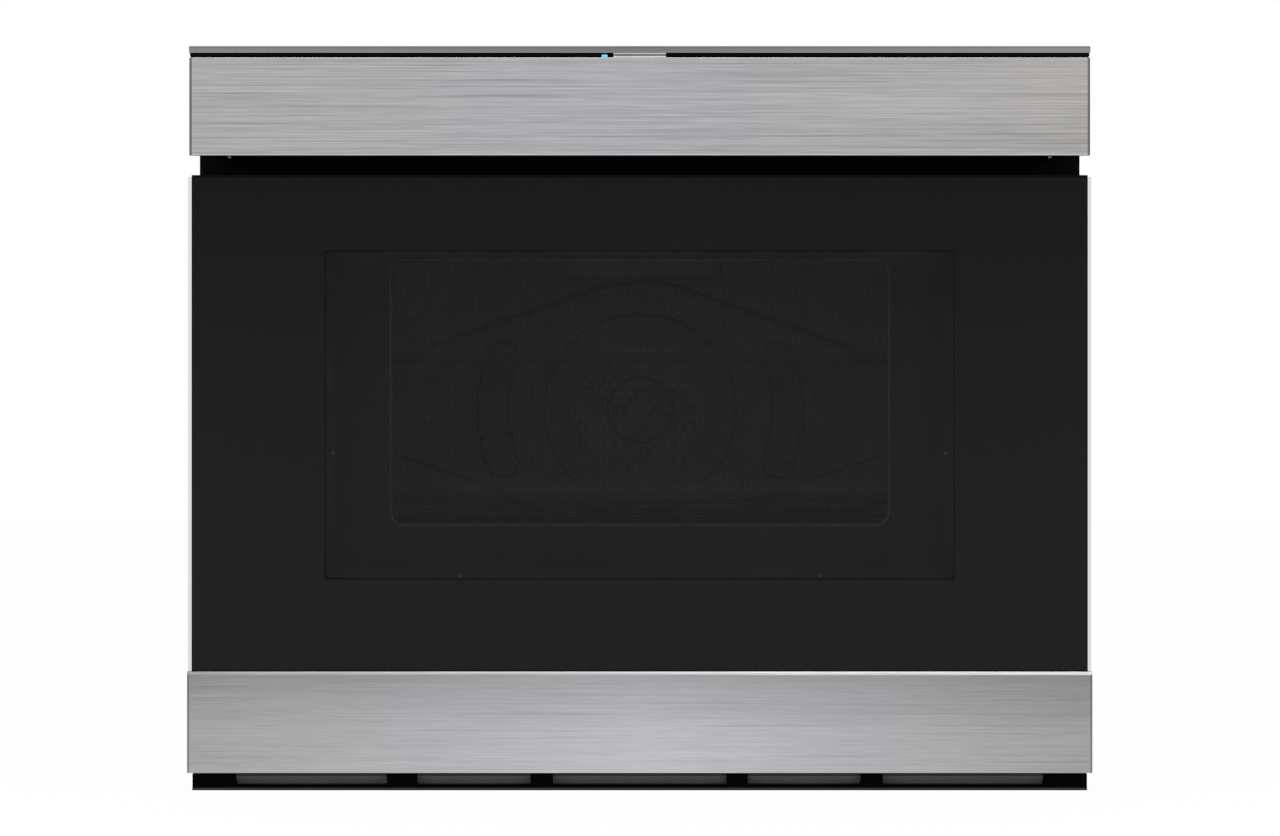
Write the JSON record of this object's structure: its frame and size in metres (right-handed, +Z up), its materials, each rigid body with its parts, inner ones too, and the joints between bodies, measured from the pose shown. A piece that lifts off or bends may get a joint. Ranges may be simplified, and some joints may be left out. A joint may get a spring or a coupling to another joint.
{
  "type": "microwave drawer",
  "caption": "Built-in microwave drawer with stainless front, black glass door, tilting control panel and ventilated base.",
  "frame": {"origin": "on the resting plane, under the middle of the whole object", "axes": "+X to the right seen from the front, -Y out of the front, +Z up"},
  "size_m": [0.606, 0.64, 0.498],
  "materials": {
    "brushed_steel": "brushed stainless steel, grain along the width",
    "zinc_steel": "zinc-coated sheet steel",
    "black_paint": "black satin enamel",
    "grey_paint": "dark grey enamel",
    "trim_aluminium": "satin anodised",
    "black_plastic": "moulded black plastic",
    "white_plastic": "moulded white plastic",
    "black_glass": "tinted black toughened glass, polished",
    "clear_glass": "clear toughened glass",
    "ceramic": "dark glass ceramic",
    "oven_enamel": "grey enamelled steel",
    "chrome_wire": "chromed wire",
    "gear_plastic": "natural acetal",
    "motor_steel": "plated motor can",
    "board": "circuit board with its parts",
    "core_steel": "varnished laminations and windings",
    "heater_steel": "sheathed heating rod",
    "cast_aluminium": "bare aluminium sheet"
  },
  "bodies": {
    "case": {"base_plate": "zinc_steel", "side_panel_left": "zinc_steel", "side_panel_right": "zinc_steel", "top_cover": "zinc_steel", "back_panel": "zinc_steel", "cord_gland": "black_plastic", "case_screws": "zinc_steel", "front_frame": "black_paint", "top_trim": "trim_aluminium", "sensor_and_light": "white_plastic", "air_guide": "black_plastic", "air_baffles": "grey_paint", "oven_floor": "oven_enamel", "oven_roof": "oven_enamel", "oven_wall_left": "oven_enamel", "oven_wall_right": "oven_enamel", "oven_rear_wall": "oven_enamel", "oven_legs": "zinc_steel", "oven_lamp": "clear_glass", "fan_housing": "zinc_steel", "ring_heater": "heater_steel", "convection_motor": "motor_steel", "waveguide": "cast_aluminium", "magnetron": "cast_aluminium", "stirrer_cover": "white_plastic", "stirrer_motor": "motor_steel", "transformer": "core_steel", "capacitor": "cast_aluminium", "blower_housing": "black_plastic", "blower_motor": "motor_steel", "control_board": "board", "interlock_switches": "black_plastic", "outer_runners": "zinc_steel", "drive_bracket": "zinc_steel", "drive_motor": "motor_steel", "panel_hinges": "zinc_steel"},
    "drawer": {"inner_runners": "zinc_steel", "drive_rack": "gear_plastic", "door_glass": "black_glass", "door_side_trims": "trim_aluminium", "lower_panel": "brushed_steel", "door_frame": "black_paint", "choke_frame": "oven_enamel", "mesh_screen": "black_paint", "inner_pane": "clear_glass", "choke_cover": "black_plastic", "latch_hooks": "black_plastic", "drawer_pan": "brushed_steel", "ceramic_floor": "ceramic", "wire_rack": "chrome_wire"},
    "runner_middles": {"middle_runners": "zinc_steel"},
    "gear_shaft": {"gear_cluster": "gear_plastic"},
    "motor_shaft": {"motor_pinion": "gear_plastic"},
    "control_panel": {"fascia": "brushed_steel", "control_bezel": "black_plastic", "touch_glass": "black_glass", "display_board": "board"},
    "convection_wheel": {"convection_fan": "cast_aluminium"},
    "stirrer_wheel": {"stirrer": "cast_aluminium"},
    "cooling_wheel": {"blower_wheel": "black_plastic"}
  },
  "joints": [
    {"name": "drawer_slide", "type": "slide", "parent": "case", "child": "drawer", "axis": [0, -1, 0], "range_m": [0, 0.38]},
    {"name": "runner_slide", "type": "slide", "parent": "case", "child": "runner_middles", "axis": [0, -1, 0], "range_m": [0, 0.19]},
    {"name": "gear_turn", "type": "hinge", "parent": "case", "child": "gear_shaft", "pos_m": [-0.04, -0.235, 0.11], "axis": [1, 0, 0], "range_deg": [0, 1613.3]},
    {"name": "motor_turn", "type": "hinge", "parent": "case", "child": "motor_shaft", "pos_m": [-0.052, -0.2038, 0.11], "axis": [1, 0, 0], "range_deg": [-5376.5, 0]},
    {"name": "panel_tilt", "type": "hinge", "parent": "case", "child": "control_panel", "pos_m": [0, -0.31, 0.4308], "axis": [1, 0, 0], "range_deg": [0, 45]},
    {"name": "convection_spin", "type": "hinge", "parent": "case", "child": "convection_wheel", "pos_m": [0, 0.2, 0.255], "axis": [0, 1, 0], "continuous": true},
    {"name": "stirrer_spin", "type": "hinge", "parent": "case", "child": "stirrer_wheel", "pos_m": [0, 0.01, 0.4], "axis": [0, 0, 1], "continuous": true},
    {"name": "cooling_spin", "type": "hinge", "parent": "case", "child": "cooling_wheel", "pos_m": [0.145, 0.2, 0.078], "axis": [1, 0, 0], "continuous": true}
  ],
  "couplings": [
    {"joint": "runner_slide", "follows": "drawer_slide", "ratio": 0.5},
    {"joint": "gear_turn", "follows": "drawer_slide", "rad_per_m": 74.074},
    {"joint": "motor_turn", "follows": "drawer_slide", "rad_per_m": -246.91}
  ]
}
